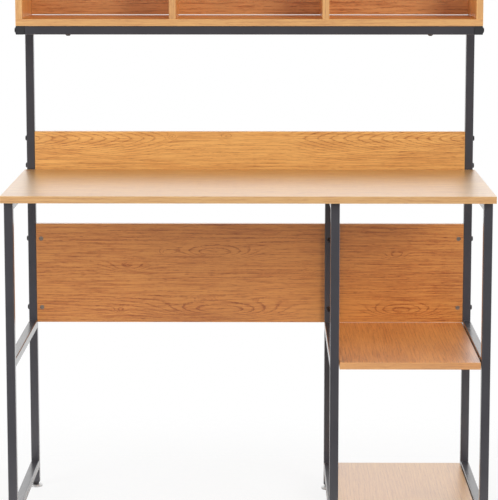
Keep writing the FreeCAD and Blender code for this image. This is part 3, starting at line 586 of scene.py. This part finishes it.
def corner_wear(shader, normal, broad):
    """How far a finish is worn: at rounded corners, where the normal points between axes."""
    corner = shader.add(
        shader.times(normal[0], normal[1]), shader.times(normal[1], normal[2]),
        shader.times(normal[0], normal[2]),
    )
    return shader.times(shader.span(corner, *CORNER_SPAN), shader.span(broad, *UNEVEN_SPAN))


def shaded(colour, gain, lift=0.0):
    return tuple(min(1.0, part * gain + lift) for part in colour) + (1.0,)


def mottled(name, look):
    """A finish with small changes of colour and gloss, and lighter rounded corners."""
    shader = Shader(name)
    place, normal = shader.place_and_normal()
    here = shader.vector(*place)
    fine = shader.noise(here, FINE_CELLS, FINE_DETAIL, FINE_ROUGHNESS)
    broad = shader.noise(here, BROAD_CELLS)
    mixed = shader.add(shader.times(fine, FINE_SHARE), shader.times(broad, 1 - FINE_SHARE))
    darker = shaded(look.colour, 1 - look.change)
    lighter = shaded(look.colour, 1 + look.change)
    base = shader.ramp(mixed, (DARKER_AT, darker), (LIGHTER_AT, lighter))
    wear = corner_wear(shader, normal, broad)
    base = shader.mix(wear, base, shaded(look.colour, WORN_GAIN, WORN_LIFT))
    roughness = shader.add(
        shader.times(broad, BROAD_GLOSS), shader.times(fine, FINE_GLOSS),
        look.roughness - MEAN_GLOSS,
    )
    shader.bump(fine, FINE_RELIEF, FINE_RELIEF_STRENGTH)
    return shader.finish(
        Base_Color=base, Roughness=roughness, Metallic=look.metallic, Coat_Weight=look.coat,
        Coat_Roughness=TUBE_COAT_ROUGHNESS, Specular_Tint=(look.rim, look.rim, look.rim, 1.0),
    )


def dress_nodes(finish):
    """Gives each board its own print, and each other CAD piece its finish."""
    slots = {item["node"]: item["material_slot"] for item in frame["record"]["subparts"]}
    for node, piece in frame["nodes"].items():
        piece.data.materials.clear()
        if node in BOARDS:
            piece.data.materials.append(oak(node, BOARDS[node]))
        else:
            piece.data.materials.append(finish[OWN_FINISH.get(node, slots[node])])


# ---- pieces made here


def new_piece(name, shape, material, body):
    """A mesh piece that rides on a body; shape is an open bmesh."""
    mesh = bpy.data.meshes.new(name)
    bmesh.ops.recalc_face_normals(shape, faces=shape.faces)
    shape.to_mesh(mesh)
    shape.free()
    piece = bpy.data.objects.new(name, mesh)
    bpy.context.scene.collection.objects.link(piece)
    mesh.materials.append(material)
    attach(piece, body)
    return piece


def ring(shape, centre, radii, z):
    """One closed row of vertices round a vertical axis."""
    row = []
    for number, radius in enumerate(radii):
        turn = 2 * math.pi * number / len(radii)
        out = Vector((radius * math.cos(turn), radius * math.sin(turn), z))
        row.append(shape.verts.new(centre + out))
    return row


def join_rows(shape, lower, upper):
    for number in range(len(lower)):
        after = (number + 1) % len(lower)
        shape.faces.new((lower[number], lower[after], upper[after], upper[number]))


def thread_radius(z, column):
    """Radius of the helical thread at a height and one of the columns round the rod."""
    phase = (z / THREAD_PITCH - column / THREAD_COLUMNS) % 1.0
    depth = abs(2 * phase - 1)
    return THREAD_MAJOR - (THREAD_MAJOR - THREAD_MINOR) * depth


def threaded_rod(shape, centre, low, high):
    """A rod whose radius follows a helical thread, with a tapered tip."""
    rows = int((high - low) / THREAD_STEP)
    previous = None
    for level in range(rows + 1):
        z = low + (high - low) * level / rows
        taper = min(1.0, TIP_SHARE + (high - z) / TIP_LENGTH)
        radii = [thread_radius(z, column) * taper for column in range(THREAD_COLUMNS)]
        row = ring(shape, centre, radii, z)
        if previous:
            join_rows(shape, previous, row)
        else:
            shape.faces.new(row[::-1])
        previous = row
    shape.faces.new(previous)


def hexagonal_collar(shape, centre, radius, low, high):
    """A hexagonal prism with bevelled rims."""
    bottom = ring(shape, centre, [radius] * COLLAR_SIDES, low)
    top = ring(shape, centre, [radius] * COLLAR_SIDES, high)
    join_rows(shape, bottom, top)
    caps = [shape.faces.new(bottom[::-1]), shape.faces.new(top)]
    rims = {edge for cap in caps for edge in cap.edges}
    bmesh.ops.bevel(shape, geom=list(rims), offset=COLLAR_BEVEL, segments=2, affect="EDGES")


def foot_stud(corner, material):
    """The hexagonal collar with its threaded stud, in place of the plain solid."""
    node = corner + "_foot_stud"
    pad_low, pad_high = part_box(corner + "_foot_pad")
    low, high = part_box(node)
    centre = Vector(((pad_low.x + pad_high.x) / 2, (pad_low.y + pad_high.y) / 2, 0.0))
    collar_top = low.z + COLLAR_HEIGHT
    shape = bmesh.new()
    hexagonal_collar(shape, centre, (high.x - low.x) / 2, low.z, collar_top)
    threaded_rod(shape, centre, collar_top - THREAD_START, high.z)
    piece = new_piece(corner + "_threaded_stud", shape, material, corner + "_foot")
    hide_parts(node)


def weld_bead(shape, middle, towards, upwards):
    """A rippled fillet bead along X in the corner between two tubes."""
    rows = []
    for step in range(BEAD_STEPS + 1):
        share = step / BEAD_STEPS
        ripple = abs(math.sin(math.pi * BEAD_RIPPLES * share))
        swell = BEAD_VALLEY + (1 - BEAD_VALLEY) * ripple
        ends = min(1.0, BEAD_TIP + BEAD_TIP_SLOPE * min(share, 1 - share))
        radius = BEAD_RADIUS * swell * ends
        spine = middle + Vector(((share - 0.5) * BEAD_LENGTH, 0.0, 0.0))
        row = [spine]
        for angle in map(math.radians, BEAD_ANGLES):
            out = towards * (radius * math.cos(angle)) + upwards * (radius * math.sin(angle))
            row.append(spine + out)
        rows.append([shape.verts.new(point) for point in row])
    for lower, upper in zip(rows, rows[1:]):
        join_rows(shape, lower, upper)
    shape.faces.new(rows[0])
    shape.faces.new(rows[-1][::-1])


def welds(side, rear_tube):
    """The beads below each end of each rail between a front leg and its rear tube, and above the
    ends of the middle and bottom rails.
    """
    shape = bmesh.new()
    front_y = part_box(side + "_front_leg")[1].y
    rear_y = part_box(rear_tube)[0].y
    for level in RAIL_LEVELS:
        low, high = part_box(f"{side}_{level}_rail")
        x = (low.x + high.x) / 2
        for y, towards in ((front_y, Vector((0, 1, 0))), (rear_y, Vector((0, -1, 0)))):
            weld_bead(shape, Vector((x, y, low.z)), towards, Vector((0, 0, -1)))
            if level != "top":
                weld_bead(shape, Vector((x, y, high.z)), towards, Vector((0, 0, 1)))
    return shape


def make_welds(material):
    for side, rear_tube in REAR_TUBES.items():
        shape = welds(side, rear_tube)
        new_piece(side + "_frame_welds", shape, material, "desk")


# ---- stage


def floor_material():
    """Pale, and clear away from the desk. The camera sees it lifted towards white."""
    shader = Shader("floor")
    place, _ = shader.place_and_normal()
    grain = shader.noise(shader.vector(*place), FLOOR_CELLS, FLOOR_DETAIL)
    shade = shader.ramp(grain, (DARKER_AT, FLOOR_COLOUR), (LIGHTER_AT, FLOOR_GREY))
    shader.finish(
        Base_Color=shade, Roughness=FLOOR_ROUGHNESS, Specular_IOR_Level=FLOOR_SPECULAR
    )
    out = []
    for part, half in zip(place, DESK_HALVES):
        beyond = shader.minus(shader.absolute(part), half)
        out.append(shader.squared(shader.larger(beyond, 0.0)))
    away = shader.math("SQRT", shader.add(*out))
    seen = shader.span(away, 0.0, FLOOR_REACH, 1.0, 0.0)
    glow = shader.node("Emission", {"Strength": 1.0}).outputs[0]
    to_camera = shader.node("LightPath").outputs["Is Camera Ray"]
    lifted = shader.times(to_camera, FLOOR_GLOW)
    pale = shader.mix_shaders(lifted, shader.surface.outputs[0], glow)
    clear = shader.node("BsdfTransparent").outputs[0]
    output = shader.tree.nodes["Material Output"]
    shader.feed(output.inputs["Surface"], shader.mix_shaders(seen, clear, pale))
    return shader.material


def floor():
    """A pale floor that fades into the white background away from the desk."""
    shape = bmesh.new()
    bmesh.ops.create_grid(shape, x_segments=1, y_segments=1, size=FLOOR_HALF)
    mesh = bpy.data.meshes.new("floor")
    shape.to_mesh(mesh)
    shape.free()
    piece = bpy.data.objects.new("floor", mesh)
    bpy.context.scene.collection.objects.link(piece)
    mesh.materials.append(floor_material())


def world():
    """Even light. The camera sees plain white, and reflections see white behind the desk."""
    made = bpy.data.worlds.new("studio")
    bpy.context.scene.world = made
    made.use_nodes = True
    tree = Tree(made.node_tree)
    path = tree.node("LightPath").outputs
    direction = tree.node("TexCoord").outputs["Generated"]
    towards_back = tree.parts(direction)[1]
    mirrored = tree.span(towards_back, DIM_FROM, DIM_TO, DIM_FRONT, 1.0)
    reflected = tree.larger(path["Is Glossy Ray"], path["Is Transmission Ray"])
    unseen = tree.choose(reflected, AMBIENT, mirrored)
    strength = tree.choose(path["Is Camera Ray"], unseen, 1.0)
    background = made.node_tree.nodes["Background"].inputs
    tree.feed(background["Color"], WHITE)
    tree.feed(background["Strength"], strength)


def add_lamp(lamp):
    """A soft square lamp that isn't seen itself."""
    data = bpy.data.lights.new(lamp.name, "AREA")
    data.shape = "SQUARE"
    data.size = lamp.size
    data.energy = lamp.power
    piece = bpy.data.objects.new(lamp.name, data)
    piece.location = lamp.place
    way = Vector(lamp.target) - Vector(lamp.place)
    piece.rotation_euler = way.to_track_quat("-Z", "Y").to_euler()
    piece.visible_camera = False
    piece.visible_glossy = lamp.mirrored
    bpy.context.scene.collection.objects.link(piece)


def camera():
    data = bpy.data.cameras.new("camera")
    data.lens = LENS
    data.sensor_width = SENSOR
    data.shift_y = SHIFT_Y
    data.clip_end = CLIP_END
    piece = bpy.data.objects.new("camera", data)
    piece.location = CAMERA_PLACE
    piece.rotation_euler = (math.radians(90 - CAMERA_DOWN), 0.0, math.radians(CAMERA_TURN))
    bpy.context.scene.collection.objects.link(piece)
    bpy.context.scene.camera = piece


def main():
    bpy.context.scene.view_settings.view_transform = "Standard"
    finish = {name: mottled(name, look) for name, look in FINISHES.items()}
    dress_nodes(finish)
    for corner in CORNERS:
        foot_stud(corner, finish["dark_steel"])
    make_welds(finish["black_tube"])
    floor()
    world()
    for lamp in LAMPS:
        add_lamp(lamp)
    camera()


main()
